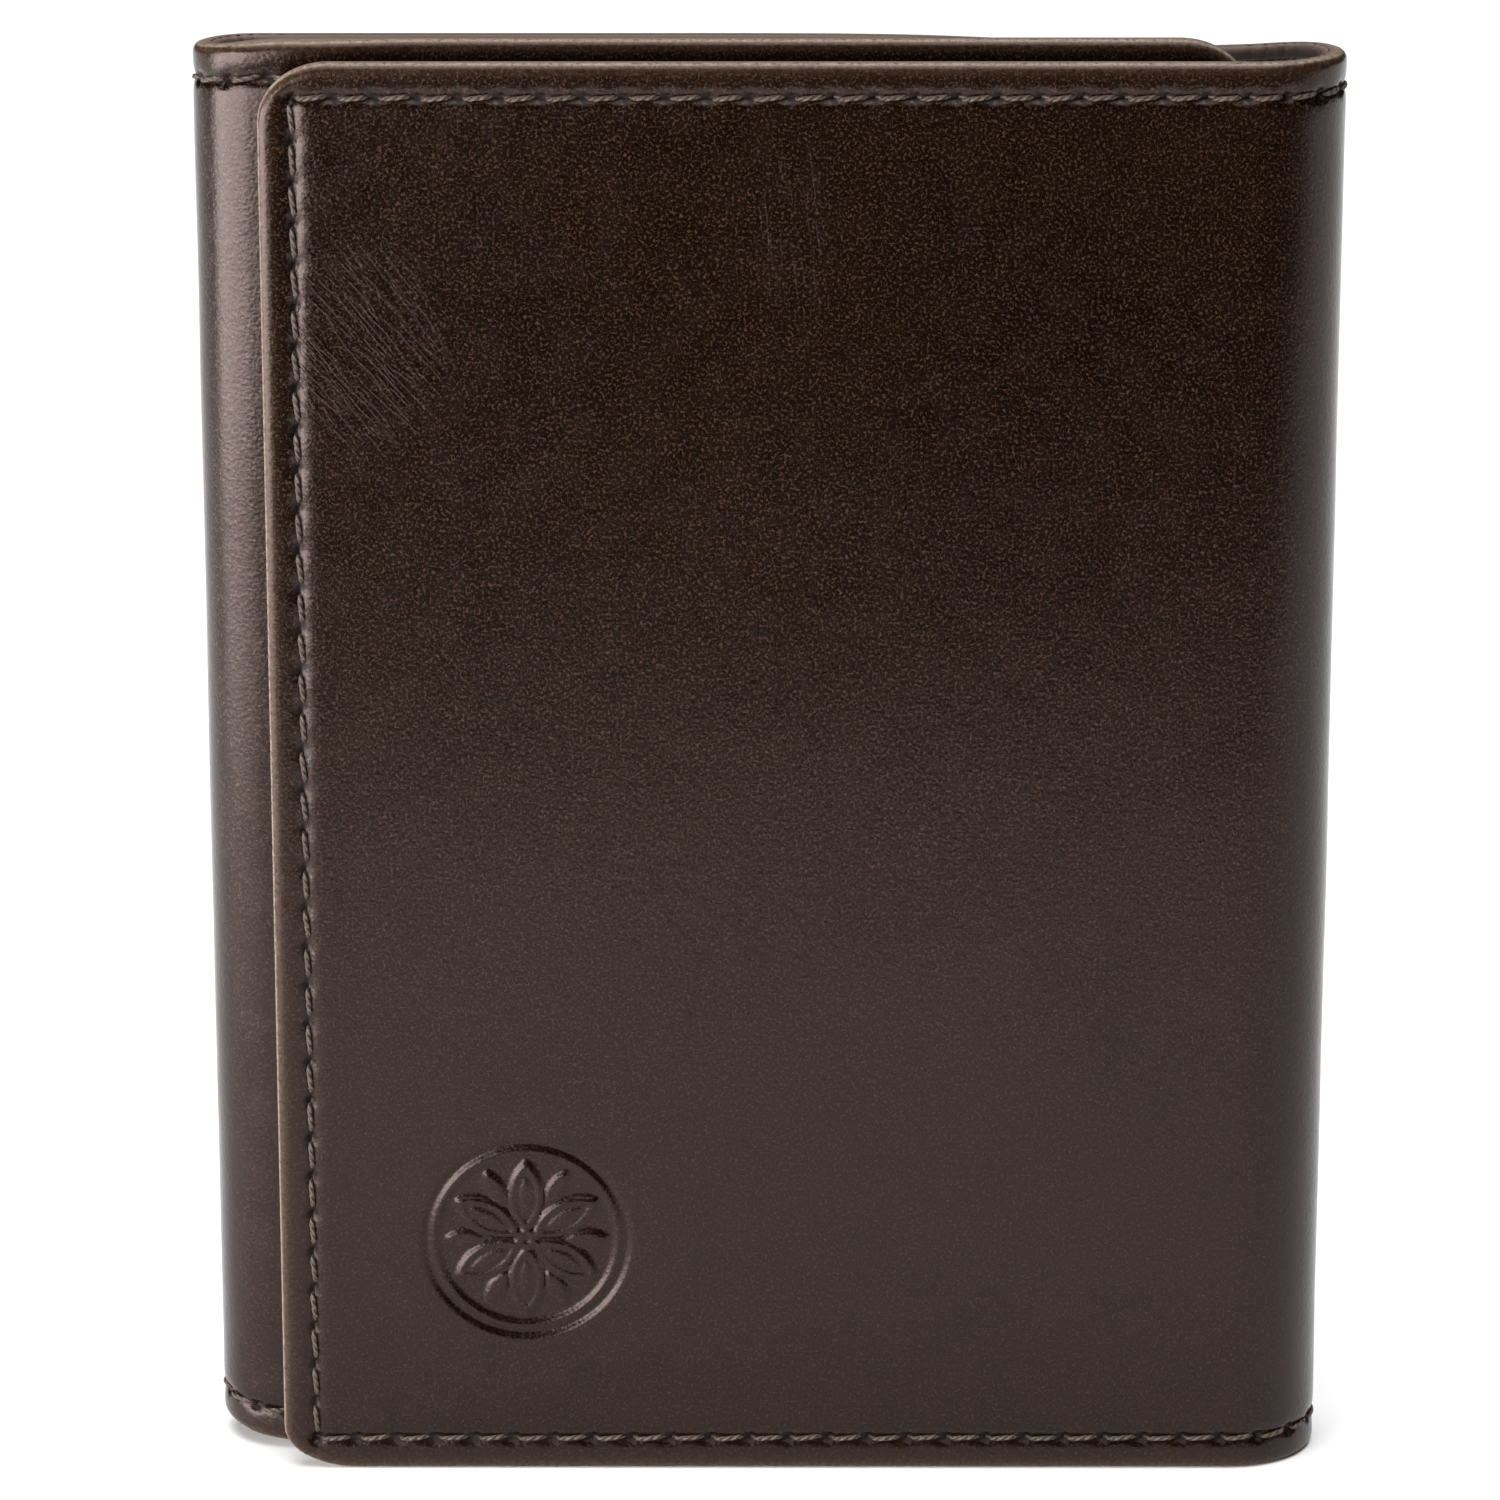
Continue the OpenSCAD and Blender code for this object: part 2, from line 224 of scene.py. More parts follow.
def lift(run, bottom, top):
    """The edge rises round the fold by bottom and top, from the panel to the fold's middle."""

    def shift(s, z):
        t = smooth(run.flat - 3, run.end, s)
        up = np.clip((z - run.rise[0]) / run.height, 0, 1)
        return t * (bottom * (1 - up) ** 8 + top * up)

    run.shift = shift


front = Run("front", front_lo[0], (RIGHT_X, RIGHT_Y), RIGHT_R, 1, -1,
            (front_lo[2], front_hi[2]), True, ("right_fold", "front_flap"))
back_right = Run("back_right", BACK_MIDDLE, (RIGHT_X, RIGHT_Y), RIGHT_R, 1, 1,
                 (back_lo[2], back_hi[2]), False, ("back_panel", "right_fold"))
back_left = Run("back_left", BACK_MIDDLE, (LEFT_X, LEFT_Y), LEFT_R, -1, 1,
                (back_lo[2], back_hi[2]), False, ("back_panel", "left_fold"))
inner = Run("inner", inner_hi[0], (LEFT_X, LEFT_Y), LEFT_R, -1, -1,
            (inner_lo[2], inner_hi[2]), True, ("left_fold", "inner_flap"))
RUNS = (front, back_right, back_left, inner)

back_right.from_s = front.end + back_right.end
back_right.sense = -1
back_left.from_s = back_right.from_s
inner.from_s = back_left.from_s + back_left.end + inner.end
inner.sense = -1
SHEET_LENGTH = inner.from_s

FOLD_DROP = right_hi[2] - back_hi[2]
LEFT_LIFT = 1.5
lift(back_right, 0, FOLD_DROP)
lift(back_left, LEFT_LIFT, -0.35)
lift(inner, LEFT_LIFT - inner_lo[2], left_hi[2] - inner_hi[2] - 0.35)


def sag(run, level, dip, at, width):
    """The back's top edge hangs a little lower than the pattern, with a dip at one place."""
    raised = run.shift

    def shift(s, z):
        up = np.clip((z - run.rise[0]) / run.height, 0, 1)
        panel = 1 - smooth(run.flat - 3, run.end, s)
        drop = level * panel + dip * np.exp(-(((s - at) / width) ** 2)) * (
            1 - smooth(run.flat, run.end, s))
        return raised(s, z) - drop * up**4

    run.shift = shift


sag(back_left, 0.35, 0, 0, 1)
sag(back_right, 0.35, 0.9, back_right.flat - 5, 13)

# the stitches are even along the whole sheet, and even up each free edge
SEAM_LENGTH = SHEET_LENGTH - 2 * SEAM_IN
SEAM_PITCH = SEAM_LENGTH / round(SEAM_LENGTH / STITCH)


def side_pitch(run):
    length = run.height - 2 * SEAM_IN
    return length / round(length / STITCH)


# ---- the leather's own shape ----

CORNERS = {"top": (5.0, 4.2), "bottom": (5.2, 3.2)}
EDGE_ROUND = 0.65
EDGE_FALL = 0.85
BACK_ROUND = 0.45
LEATHER_STEP = 0.58
BENDS = 30
ROLL = 0.05
FINE_CREASE = 0.008
SWELL = 1.0
PLEAT = 0.12
CLOTH_PLEAT = 0.07
CLOTH_ROLL = 0.03
SHARP = 50
# how deep the face lies at each distance from the edge, across the sewn band
BAND_AT = (0, 0.9, 1.3, 1.7, 2.0, 2.2, 2.4, 2.6, 2.8, 3.1, 3.6, 4.6, 6.0)
BAND_DEPTH = (0.0, 0.0, 0.01, 0.05, 0.12, 0.22, 0.27, 0.22, 0.08, 0.01, -0.02, -0.01, 0)


def rounded(a, b, radii):
    """Moves points of a square corner, a and b from its sides, into a rounded one."""
    qa, qb = (radii[0] - a) / radii[0], (radii[1] - b) / radii[1]
    inside = (qa > 0) & (qb > 0)
    pull = np.maximum(qa, qb) / np.maximum(np.hypot(qa, qb), 1e-9)
    return (np.where(inside, radii[0] * (1 - qa * pull), a),
            np.where(inside, radii[1] * (1 - qb * pull), b))


def seams_near(run, s, z):
    """For each of the run's seams: distance from its edge, stitches along it, and how
    much of it is there."""
    top, bottom = run.rise[1] - z, z - run.rise[0]
    along = (run.long(s) - SEAM_IN) / SEAM_PITCH
    there = smooth(SEAM_IN - 0.5, SEAM_IN - 0.1, s) if run.free else np.ones_like(s)
    found = [(top, along, there, 1), (bottom, along, there, -1)]
    if run.free:
        up = (z - run.rise[0] - SEAM_IN) / side_pitch(run)
        there = smooth(SEAM_IN - 0.5, SEAM_IN - 0.1, np.minimum(top, bottom))
        found.append((s, up, there, 1))
    return found


def seam_depth(run, s, z):
    """How deep the stitches pull the face in, and the nearest seam for the material."""
    depth = np.zeros_like(s)
    near = np.full_like(s, 99.0)
    stitches = np.zeros_like(s)
    leans = np.zeros_like(s)
    for edge, along, there, lean in seams_near(run, s, z):
        part = along - np.floor(along)
        drift = lean * 0.16 * (part - 0.5)
        pull = np.interp(edge - drift, BAND_AT, BAND_DEPTH)
        between = np.abs(along - np.round(along)) * STITCH
        pull = pull * (0.78 + 0.3 * np.exp(-((between / 0.55) ** 2)))
        pull = pull + 0.42 * np.exp(-((between / 0.32) ** 2 + ((edge - SEAM_IN) / 0.34) ** 2))
        depth = np.where(np.abs(pull * there) > np.abs(depth), pull * there, depth)
        closer = (np.abs(edge - SEAM_IN) < np.abs(near)) & (there > 0)
        near = np.where(closer, edge - SEAM_IN, near)
        stitches = np.where(closer, along, stitches)
        leans = np.where(closer, lean, leans)
    return depth, near, stitches, leans


def leaf(x, y, turn, near, far, half):
    """Signed distance to a pointed leaf between two radii, half its width."""
    c, d = math.cos(turn), math.sin(turn)
    along, across = x * c + y * d - (near + far) / 2, np.abs(y * c - x * d)
    reach = (far - near) / 2
    bow = (reach**2 + half**2) / (2 * half)
    return np.hypot(along, across + bow - half) - bow


def emblem_depth(s, z):
    """The pressed rosette in its ring: six petals round a hub, six small leaves between."""
    x, y = s - EMBLEM_AT[0], z - EMBLEM_AT[1]
    r, rim = np.hypot(x, y), EMBLEM_D / 2
    press = 0.24 * smooth(0.16, -0.2, r - rim + 0.15)
    band = 0.22 * smooth(0.16, -0.16, np.abs(r - rim + 1.0) - 0.28)
    shape, small = r - 0.8, np.full_like(r, 9.0)
    for turn in range(6):
        a = math.radians(60 * turn + 30)
        shape = np.minimum(shape, leaf(x, y, a, 0.5, rim - 1.75, 1.25))
        small = np.minimum(small, leaf(x, y, a + math.pi / 6, 2.9, rim - 1.75, 0.62))
    vein = 0.12 * smooth(0.32, 0.0, np.abs(shape + 0.62)) * smooth(-0.1, -0.4, shape)
    raised = 0.28 * smooth(0.14, -0.2, shape) + 0.2 * smooth(0.14, -0.16, small)
    return press - band - (raised - vein)


def hide_roll(run, s, z):
    """The slow roll of leather over board, and the small creases of use."""
    far = run.long(s)
    roll = ROLL * waves(7, far, z, 60, 16)
    creases = FINE_CREASE * waves(11, far, z * 0.35, 6, 2.2)
    return roll + creases


def fold_swell(run, s):
    """The inner flap stands off a little where it comes round the left fold."""
    rise = smooth(run.flat - 13, run.flat - 3, s) * (1 - smooth(run.flat - 3, run.end, s))
    return SWELL * rise


def gather(run, s, z):
    """Small pleats where the turned hem is gathered inside a fold."""
    along = run.long(s)
    wander = 0.35 * waves(23, along, z, 9, 4)
    pleats = np.sin(2 * math.pi * (along / 1.15 + wander)) + 0.6 * np.sin(
        2 * math.pi * (along / 0.71 + 1.7 * wander))
    inside = smooth(run.flat - 4, run.flat + 1.5, s)
    return pleats * inside


# ---- sheets ----

BAND_LINES = (0, 0.08, 0.2, 0.38, 0.6, EDGE_W, 1.25, 1.6, 1.85, 2.05, 2.22, 2.4, 2.58,
              2.75, 2.95, 3.25, 3.7)


def lines(length, step, low=(0,), high=(0,)):
    """Places of the grid's lines, close together in the bands at the ends."""
    middle = length - low[-1] - high[-1]
    count = max(1, round(middle / step))
    between = [low[-1] + middle * i / count for i in range(1, count)]
    return np.array([*low, *between, *(length - h for h in reversed(high))])


def bent_sheet(name, run, span, rise, v, across, up, bends):
    """A sheet at depth v: a grid for the flat part, spun round the fold's quarter."""
    bpy.ops.object.select_all(action="DESELECT")
    bpy.ops.mesh.primitive_grid_add(
        x_subdivisions=len(across) - 1, y_subdivisions=len(up) - 1, size=2)
    obj = bpy.context.object
    obj.name = obj.data.name = name
    co = points(obj)
    i = np.rint((co[:, 0] + 1) / 2 * (len(across) - 1)).astype(int)
    j = np.rint((co[:, 1] + 1) / 2 * (len(up) - 1)).astype(int)
    x = run.start + run.way * (span + across[i])
    y = np.full(len(co), run.fold[1] + run.face * (run.radius - v))
    put_points(obj, np.stack([x, y, rise + up[j]], -1) * MM)
    if bends:
        edit(obj, "EDGE")
        fold_x = run.fold[0] * MM
        pick(obj, "edges",
             lambda e: all(abs(p.co.x - fold_x) < 1e-6 for p in e.verts))
        bpy.ops.mesh.spin(
            steps=bends, angle=run.way * run.face * math.pi / 2, use_auto_merge=False,
            center=(fold_x, run.fold[1] * MM, 0), axis=(0, 0, 1))
        bpy.ops.mesh.select_all(action="SELECT")
        bpy.ops.mesh.remove_doubles(threshold=1e-6)
        done()
    outward = sum(p.normal.y for p in obj.data.polygons) * run.face
    if outward < 0:
        edit(obj)
        bpy.ops.mesh.select_all(action="SELECT")
        bpy.ops.mesh.flip_normals()
        done()
    return obj


def edge_of(run, s, z):
    """Distance from the nearest free edge, on the plain shape."""
    edge = np.minimum(z - run.rise[0], run.rise[1] - z)
    return np.minimum(edge, s) if run.free else edge


def faces_where(obj, run, test):
    """Numbers of the faces that pass a test on each face's highest and lowest edge
    distance and depth."""
    s, z, v = run.read(points(obj))
    edge = edge_of(run, s, z)
    corner = np.zeros(len(obj.data.loops), int)
    obj.data.loops.foreach_get("vertex_index", corner)
    first = np.zeros(len(obj.data.polygons), int)
    obj.data.polygons.foreach_get("loop_start", first)
    reach = [f.reduceat(a[corner], first)
             for a in (edge, v) for f in (np.minimum, np.maximum)]
    return set(np.flatnonzero(test(*reach)).tolist())


def draw_out(obj, run, test, moved):
    """Extrudes the faces that pass the test, and moves the new points in code."""
    chosen = faces_where(obj, run, test)
    edit(obj)
    pick(obj, "faces", lambda f: f.index in chosen)
    bpy.ops.mesh.extrude_region_move()
    done()
    new = np.zeros(len(obj.data.vertices), bool)
    obj.data.vertices.foreach_get("select", new)
    co = points(obj)
    keep, run.shift = run.shift, lambda s, z: 0 * s
    co[new] = run.place(*moved(*run.read(co[new])))
    run.shift = keep
    put_points(obj, co)


def cover(run):
    """The outer leather of a run: its face, its wrapped edge and its turned hem."""
    across = lines(run.flat, LEATHER_STEP, BAND_LINES if run.free else (0,))
    up = lines(run.height, LEATHER_STEP, BAND_LINES, BAND_LINES)
    obj = bent_sheet(run.name + "_leather", run, 0, run.rise[0], 0, across, up, BENDS)
    if run is front:
        edit(obj)
        reach = EMBLEM_D / 2 + 0.9
        cx, cz = run.start + EMBLEM_AT[0], run.rise[0] + EMBLEM_AT[1]

        def at_emblem(face):
            c = face.calc_center_median() / MM
            return abs(c.x - cx) < reach and abs(c.z - cz) < reach

        pick(obj, "faces", at_emblem)
        bpy.ops.mesh.subdivide(number_cuts=2, ngon=True)
        done()
    thicken(obj, COVER_T)

    near = 0.01

    def at_depth(depth):
        return lambda edge0, edge1, v0, v1: (
            (edge1 < EDGE_W + near) & (v0 > depth - near) & (v1 < depth + near))

    def inner_side(edge0, edge1, v0, v1):
        return ((edge0 > EDGE_W - near) & (edge1 < EDGE_W + near)
                & (v0 > HEM_V - near) & (v1 - v0 > 0.1))

    def draw_in(s, z, v):
        z = np.clip(z, run.rise[0] + HEM_W, run.rise[1] - HEM_W)
        return (np.maximum(s, HEM_W) if run.free else s), z, v

    # the leather wraps the board's edge, and its hem is drawn in behind the board
    draw_out(obj, run, at_depth(COVER_T), lambda s, z, v: (s, z, 0 * v + HEM_V))
    draw_out(obj, run, at_depth(HEM_V), lambda s, z, v: (s, z, 0 * v + LINING_V))
    draw_out(obj, run, inner_side, draw_in)
    edit(obj)
    bpy.ops.mesh.select_all(action="SELECT")
    bpy.ops.mesh.remove_doubles(threshold=1e-6)
    bpy.ops.mesh.dissolve_degenerate(threshold=1e-6)
    done()

    # shape the plain sheet into worn, sewn leather
    s, z, v = run.read(points(obj))
    top, bottom = run.rise[1] - z, z - run.rise[0]
    edge = np.minimum(top, bottom)
    if run.free:
        edge = np.minimum(edge, s)
        s1, top1 = rounded(s, top, CORNERS["top"])
        s2, bottom2 = rounded(s, bottom, CORNERS["bottom"])
        upper = top < bottom
        s = np.where(upper, s1, s2)
        z = np.where(upper, run.rise[1] - top1, run.rise[0] + bottom2)
    depth, near, stitches, leans = seam_depth(run, s, z)
    bull = EDGE_ROUND - np.sqrt(
        np.clip(EDGE_ROUND**2 - np.clip(EDGE_ROUND - edge, 0, None) ** 2, 0, None))
    face = np.abs(v) < 0.01
    shaped = depth + EDGE_FALL * bull + hide_roll(run, s, z) * smooth(0.5, 8, edge)
    if run is front:
        shaped = shaped + emblem_depth(s, z - run.rise[0])
    if run is inner:
        shaped = shaped - fold_swell(run, s)
    back = BACK_ROUND - np.sqrt(
        np.clip(BACK_ROUND**2 - np.clip(BACK_ROUND - edge, 0, None) ** 2, 0, None))
    hem = np.abs(v - LINING_V) < 0.01
    waist = (edge < 0.01) & ~face & ~hem
    pleat = PLEAT * gather(run, s, z) * smooth(HEM_W, 1, edge)
    v = np.where(face, shaped, v)
    v = np.where(hem, v - back + pleat, v)
    v = np.where(waist & (v < 1), 1.0, v)
    mark(obj, "hide", np.stack([run.long(s), z, v], -1))
    mark(obj, "seam", np.stack([stitches, near, leans], -1))
    # nearness to the edge: drives the rubbed wear and the painted edge highlight of the cover
    # leather
    mark(obj, "edge_rub_and_highlight", np.where(face | (edge < 0.5), np.exp(-edge / 0.4), 0))
    mark(obj, "inside", np.where(face, 0.0, 1.0))
    put_points(obj, run.place(s, z, v))
    finish_faces(obj, SHARP)
    return obj


def bend_with(obj, run):
    """Bakes obj's place into its points, the same whichever way the run faces; it is not bent and
    not given to a body.
    """
    if run.face < 0:
        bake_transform(obj)
    else:
        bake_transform(obj)


# ---- stitches ----

STITCH_LENGTH = 2.3
THREAD_W = 0.38


def stitch_shape():
    """One stitch, lying along X with its back to -Y; its ends dip into their holes."""
    bpy.ops.object.select_all(action="DESELECT")
    bpy.ops.mesh.primitive_uv_sphere_add(segments=8, ring_count=7, radius=1)
    obj = bpy.context.object
    obj.name = obj.data.name = "stitch"
    co = points(obj)
    along = co[:, 2]
    around = np.arctan2(co[:, 1], co[:, 0])
    girth = (1 - np.abs(along) ** 3.2) ** 0.4
    twist = 1 + 0.1 * np.cos(2 * around + 9 * along)
    high = -0.15 * np.sin(around) * girth * twist - 0.03
    wide = THREAD_W / 2 * np.cos(around) * girth * twist
    dip = 0.3 * np.abs(along) ** 5
    put_points(obj, np.stack([along * STITCH_LENGTH / 2, high + dip, wide], -1))
    mark(obj, "strand", np.stack([along * STITCH_LENGTH / 2, around, 0 * along], -1))
    edit(obj)
    bpy.ops.mesh.select_all(action="SELECT")
    bpy.ops.mesh.normals_make_consistent(inside=False)
    done()
    return obj


def sew(name, run, model, places, mirror):
    """Copies the stitch to each (s, z, v, turn) of the flat leather and wraps them round."""
    copies = []
    for s, z, v, turn, big in places:
        one = model.copy()
        one.data = model.data.copy()
        one.location = (s, v, z)
        one.rotation_euler = (0, turn, 0)
        one.scale = (big, mirror, 1)
        bpy.context.collection.objects.link(one)
        copies.append(one)
    bpy.ops.object.select_all(action="DESELECT")
    for one in copies:
        one.select_set(True)
    bpy.context.view_layer.objects.active = copies[0]
    bpy.ops.object.join()
    obj = bpy.context.object
    bpy.ops.object.transform_apply(location=True, rotation=True, scale=True)
    obj.name = obj.data.name = name
    s, v, z = points(obj).T
    put_points(obj, run.place(s, z, v))
    edit(obj)
    bpy.ops.mesh.select_all(action="SELECT")
    bpy.ops.mesh.normals_make_consistent(inside=False)
    done()
    only(obj)
    bpy.ops.object.shade_smooth()
    return obj


def seam_places(run, v, lean, draw):
    """Where the stitches of a run's main seam go."""
    found = []
    count = round(SEAM_LENGTH / SEAM_PITCH)
    for k in range(count):
        far = SEAM_IN + (k + 0.5) * SEAM_PITCH
        s = (far - run.from_s) / run.sense
        if not (0 <= s < run.end):
            continue
        for z in (run.rise[1] - SEAM_IN, run.rise[0] + SEAM_IN):
            turn = -lean * run.sense * draw.uniform(0.07, 0.15)
            rise = fold_swell(run, s) if run is inner and lean > 0 and v < 1 else 0
            found.append((s, z + draw.uniform(-0.03, 0.03), v - rise, turn,
                          draw.uniform(0.94, 1.03)))
    if run.free:
        pitch = side_pitch(run)
        for k in range(round((run.height - 2 * SEAM_IN) / pitch)):
            z = run.rise[0] + SEAM_IN + (k + 0.5) * pitch
            turn = math.pi / 2 - lean * draw.uniform(0.06, 0.14)
            found.append((SEAM_IN + draw.uniform(-0.03, 0.03), z, v, turn,
                          draw.uniform(0.94, 1.03)))
    return found


# ---- materials ----


class Mix:
    """A small helper that adds nodes to one material."""

    def __init__(self, name):
        self.material = bpy.data.materials.new(name)
        self.material.use_nodes = True
        self.nodes = self.material.node_tree.nodes
        self.links = self.material.node_tree.links
        self.shader = self.nodes["Principled BSDF"]

    def add(self, kind, inputs=None, **settings):
        node = self.nodes.new(kind)
        for key, value in settings.items():
            setattr(node, key, value)
        for key, value in (inputs or {}).items():
            self.give(node, key, value)
        return node

    def give(self, node, key, value):
        socket = node.inputs[key]
        if isinstance(value, bpy.types.NodeSocket):
            self.links.new(value, socket)
        else:
            socket.default_value = value

    def sum(self, kind, a, b=0.0, clamp=False):
        node = self.add("ShaderNodeMath", operation=kind, use_clamp=clamp)
        self.give(node, 0, a)
        self.give(node, 1, b)
        return node.outputs[0]

    def span(self, value, lo, hi, to_lo=0.0, to_hi=1.0):
        node = self.add("ShaderNodeMapRange", {"Value": value}, interpolation_type="SMOOTHSTEP")
        for key, v in (("From Min", lo), ("From Max", hi), ("To Min", to_lo), ("To Max", to_hi)):
            self.give(node, key, v)
        return node.outputs[0]

    def noise(self, vector, scale, detail=3.0, rough=0.5, distortion=0.0):
        return self.add("ShaderNodeTexNoise", {
            "Vector": vector, "Scale": scale, "Detail": detail, "Roughness": rough,
            "Distortion": distortion}).outputs["Fac"]

    def stretch(self, vector, scale=(1, 1, 1), turn=0.0):
        # the axes are turned first and stretched after
        node = self.add("ShaderNodeMapping", {
            "Vector": vector, "Scale": tuple(1 / c for c in scale), "Rotation": (0, 0, turn),
        }, vector_type="TEXTURE")
        return node.outputs[0]

    def blend(self, share, a, b, kind="MIX"):
        node = self.add("ShaderNodeMix", data_type="RGBA", blend_type=kind)
        self.give(node, 0, share)
        self.give(node, 6, (*a, 1) if isinstance(a, tuple) else a)
        self.give(node, 7, (*b, 1) if isinstance(b, tuple) else b)
        return node.outputs[2]

    def attribute(self, name, output="Vector"):
        return self.add("ShaderNodeAttribute", attribute_name=name).outputs[output]

    def bump(self, height, distance, strength=1.0, normal=None):
        node = self.add("ShaderNodeBump", {"Height": height, "Distance": distance,
                                           "Strength": strength})
        if normal is not None:
            self.give(node, "Normal", normal)
        return node.outputs[0]

    def set(self, **inputs):
        for key, value in inputs.items():
            self.give(self.shader, key.replace("_", " "), value)
        return self.material


def cover_leather():
    """Smooth polished brown leather: grain, creases, rubbed edges, pierced holes; painted
    highlights on the grain's flecks and along the very edge, painted shade in the holes and along
    the seam's groove.
    """
    m = Mix("cover_leather")
    hide = m.attribute("hide")
    seam = m.add("ShaderNodeSeparateXYZ", {0: m.attribute("seam")})
    edge_rub_and_highlight = m.attribute("edge_rub_and_highlight", "Fac")
    inside = m.attribute("inside", "Fac")

    cloud = m.noise(hide, 0.045, 3, 0.55)
    patch = m.noise(hide, 0.35, 4, 0.6)
    grain = m.noise(hide, 4.6, 6, 0.74, 0.4)
    pores = m.add("ShaderNodeTexVoronoi", {"Vector": hide, "Scale": 3.4, "Smoothness": 0.5,
                                           "Randomness": 1.0}, feature="SMOOTH_F1")
    fine = m.noise(hide, 9.0, 2, 0.6)
    crease = m.noise(m.stretch(hide, (0.5, 0.16, 1), 0.5), 1.0, 6, 0.62, 0.6)
    crease = m.sum("ABSOLUTE", m.sum("SUBTRACT", crease, 0.5))
    crease = m.span(crease, 0.0, 0.06)

    colour = m.blend(m.span(cloud, 0.3, 0.7), (0.0028, 0.0007, 0.0002), (0.0048, 0.0015, 0.0005))
    colour = m.blend(m.span(patch, 0.35, 0.75, 0, 0.5), colour, (0.0085, 0.0033, 0.0016))
    # painted highlight: light flecks stand for the grain's glints, strongest above the middle and
    # faded towards the bottom
    split = m.add("ShaderNodeSeparateXYZ", {0: hide})
    painted_grain_highlights = m.sum("MULTIPLY", m.span(grain, 0.53, 0.6), m.span(split.outputs[1], 20, 65, 0.4, 1))
    # painted highlight of the grain flecks, lighter towards the top
    colour = m.blend(painted_grain_highlights, colour, (0.046, 0.0245, 0.015))
    # rubbed edge: the dye is thin where the leather wraps round the board
    ragged = m.span(m.noise(hide, 2.4, 5, 0.75), 0.25, 0.75, 0.15, 1.1)
    worn = m.sum("MULTIPLY", edge_rub_and_highlight, ragged, True)
    colour = m.blend(worn, colour, (0.085, 0.05, 0.03))
    # painted highlight: a bright thin line at the very edge, where the edge's corner catches the
    # light; the tan rub just before it is real wear
    painted_edge_highlight = m.sum("MULTIPLY", m.span(edge_rub_and_highlight, 0.62, 0.95), ragged, True)
    colour = m.blend(painted_edge_highlight, colour, (0.3, 0.235, 0.18))
    # painted shade: a dark slanting slit in the hole at the end of every stitch, and a darker
    # line along the seam's groove
    part = m.sum("SUBTRACT", seam.outputs[0], m.add(
        "ShaderNodeMath", {0: seam.outputs[0]}, operation="ROUND").outputs[0])
    along = m.sum("MULTIPLY", part, STITCH)
    lean = m.sum("SUBTRACT", along, m.sum("MULTIPLY", seam.outputs[1],
                                          m.sum("MULTIPLY", seam.outputs[2], 0.5)))
    slit = m.sum("SQRT", m.sum("ADD",
                 m.sum("POWER", m.sum("DIVIDE", lean, 0.3), 2.0),
                 m.sum("POWER", m.sum("DIVIDE", seam.outputs[1], 0.6), 2.0)))
    hole_shade = m.span(slit, 1.15, 0.75)
    groove_shade = m.span(m.sum("ABSOLUTE", seam.outputs[1]), 0.36, 0.2, 0, 0.5)
    painted_seam_shade = m.sum("MAXIMUM", hole_shade, groove_shade)
    # painted shade of the holes and groove
    colour = m.blend(painted_seam_shade, colour, (0.003, 0.0018, 0.0012))
    colour = m.blend(m.sum("MULTIPLY", inside, 0.85), colour, (0.11, 0.077, 0.068))

    gloss = m.span(patch, 0.3, 0.8, 0.12, 0.2)
    gloss = m.sum("ADD", gloss, m.span(split.outputs[1], 22, 50, 0.06, 0.0))
    gloss = m.sum("ADD", gloss, m.sum("MULTIPLY", worn, 0.25))
    gloss = m.sum("ADD", gloss, m.sum("MULTIPLY", painted_seam_shade, 0.3), True)
    gloss = m.sum("ADD", gloss, m.sum("MULTIPLY", inside, 0.4), True)

    pulls = []
    # where the leather was pulled into fine wrinkles: place, reach, stretch and slant
    for at, spread, stretch, turn in (
            ((37.5, 93.0), (4.0, 9.0), (1.3, 0.07, 1), 0.1),
            ((7.5, 84.5), (7.0, 9.5), (1.1, 0.14, 1), 0.7)):
        off = [m.sum("DIVIDE", m.sum("SUBTRACT", split.outputs[k], at[k]), spread[k])
               for k in (0, 1)]
        inside_it = m.sum("ADD", m.sum("POWER", off[0], 2.0), m.sum("POWER", off[1], 2.0))
        wave = m.noise(m.stretch(hide, stretch, turn), 1.0, 3, 0.55, 0.3)
        wave = m.span(m.sum("ABSOLUTE", m.sum("SUBTRACT", wave, 0.5)), 0.0, 0.09)
        pulls.append(m.sum("MULTIPLY", m.sum("SUBTRACT", 1.0, wave), m.span(inside_it, 1.0, 0.2)))
    pull = m.sum("ADD", m.sum("MULTIPLY", pulls[0], 0.3), pulls[1])
    normal = m.bump(pull, 0.00006, 0.6)
    normal = m.bump(crease, 0.00001, 0.4, normal)
    normal = m.bump(pores.outputs["Distance"], 0.00003, 0.4, normal)
    normal = m.bump(grain, 0.00004, 0.35, normal)
    normal = m.bump(fine, 0.000005, 0.5, normal)
    return m.set(Base_Color=colour, Roughness=gloss, Normal=normal, Specular_IOR_Level=0.32,
                 Specular_Tint=(1.0, 0.78, 0.74, 1))


